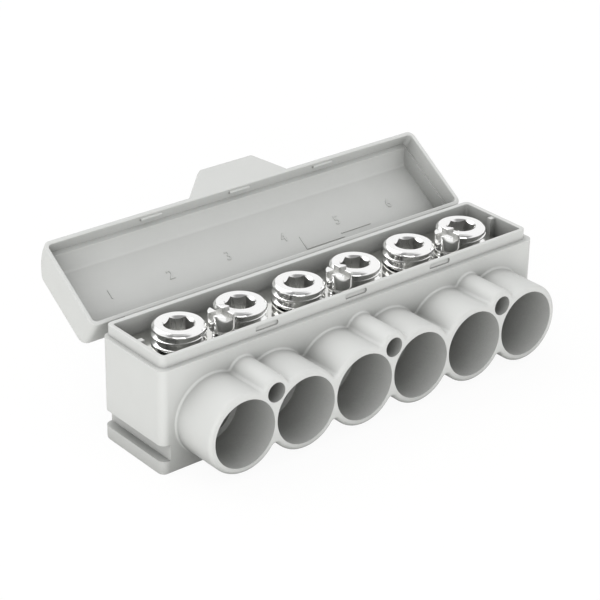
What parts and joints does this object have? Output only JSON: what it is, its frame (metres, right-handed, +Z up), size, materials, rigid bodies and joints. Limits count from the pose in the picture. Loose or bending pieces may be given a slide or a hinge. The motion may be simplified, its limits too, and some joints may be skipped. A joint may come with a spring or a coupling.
{
  "type": "power distribution block",
  "caption": "Moulded insulated block with a row of cable tubes, a bored metal bar clamped by socket screws, and a hinged tray lid with a lift tab, shown open.",
  "frame": {"origin": "middle of the flat underside of the box-shaped housing, the cable tubes left out", "axes": "+X along the row of poles, -Y towards the cable entries, +Z up, out of the open trough"},
  "size_m": [0.1086, 0.0613, 0.0417],
  "materials": {
    "housing": "fine moulded light grey",
    "lid": "fine moulded light grey",
    "bar": "bright tinned",
    "clamp_screws": "bright plated steel",
    "tap_screws": "bright plated steel"
  },
  "bodies": {
    "housing": {"housing": "housing", "connector_bar": "bar"},
    "lid": {"lid": "lid"},
    "clamp_screw_1": {"clamp_screw_1": "clamp_screws"},
    "clamp_screw_2": {"clamp_screw_2": "clamp_screws"},
    "clamp_screw_3": {"clamp_screw_3": "clamp_screws"},
    "clamp_screw_4": {"clamp_screw_4": "clamp_screws"},
    "clamp_screw_5": {"clamp_screw_5": "clamp_screws"},
    "clamp_screw_6": {"clamp_screw_6": "clamp_screws"},
    "tap_screw_1": {"tap_screw_1": "tap_screws"},
    "tap_screw_2": {"tap_screw_2": "tap_screws"},
    "tap_screw_3": {"tap_screw_3": "tap_screws"}
  },
  "joints": [
    {"name": "lid_hinge", "type": "hinge", "parent": "housing", "child": "lid", "pos_m": [0, 0.01305, 0.0249], "axis": [1, 0, 0], "range_deg": [-33.9, 146.1]},
    {"name": "clamp_screw_1_travel", "type": "slide", "parent": "housing", "child": "clamp_screw_1", "axis": [0, 0, -1], "range_m": [0, 0.0073]},
    {"name": "clamp_screw_2_travel", "type": "slide", "parent": "housing", "child": "clamp_screw_2", "axis": [0, 0, -1], "range_m": [0, 0.0073]},
    {"name": "clamp_screw_3_travel", "type": "slide", "parent": "housing", "child": "clamp_screw_3", "axis": [0, 0, -1], "range_m": [0, 0.0073]},
    {"name": "clamp_screw_4_travel", "type": "slide", "parent": "housing", "child": "clamp_screw_4", "axis": [0, 0, -1], "range_m": [0, 0.0073]},
    {"name": "clamp_screw_5_travel", "type": "slide", "parent": "housing", "child": "clamp_screw_5", "axis": [0, 0, -1], "range_m": [0, 0.0073]},
    {"name": "clamp_screw_6_travel", "type": "slide", "parent": "housing", "child": "clamp_screw_6", "axis": [0, 0, -1], "range_m": [0, 0.0073]},
    {"name": "tap_screw_1_travel", "type": "slide", "parent": "housing", "child": "tap_screw_1", "axis": [0, 0, -1], "range_m": [0, 0.0021]},
    {"name": "tap_screw_2_travel", "type": "slide", "parent": "housing", "child": "tap_screw_2", "axis": [0, 0, -1], "range_m": [0, 0.0021]},
    {"name": "tap_screw_3_travel", "type": "slide", "parent": "housing", "child": "tap_screw_3", "axis": [0, 0, -1], "range_m": [0, 0.0021]}
  ]
}
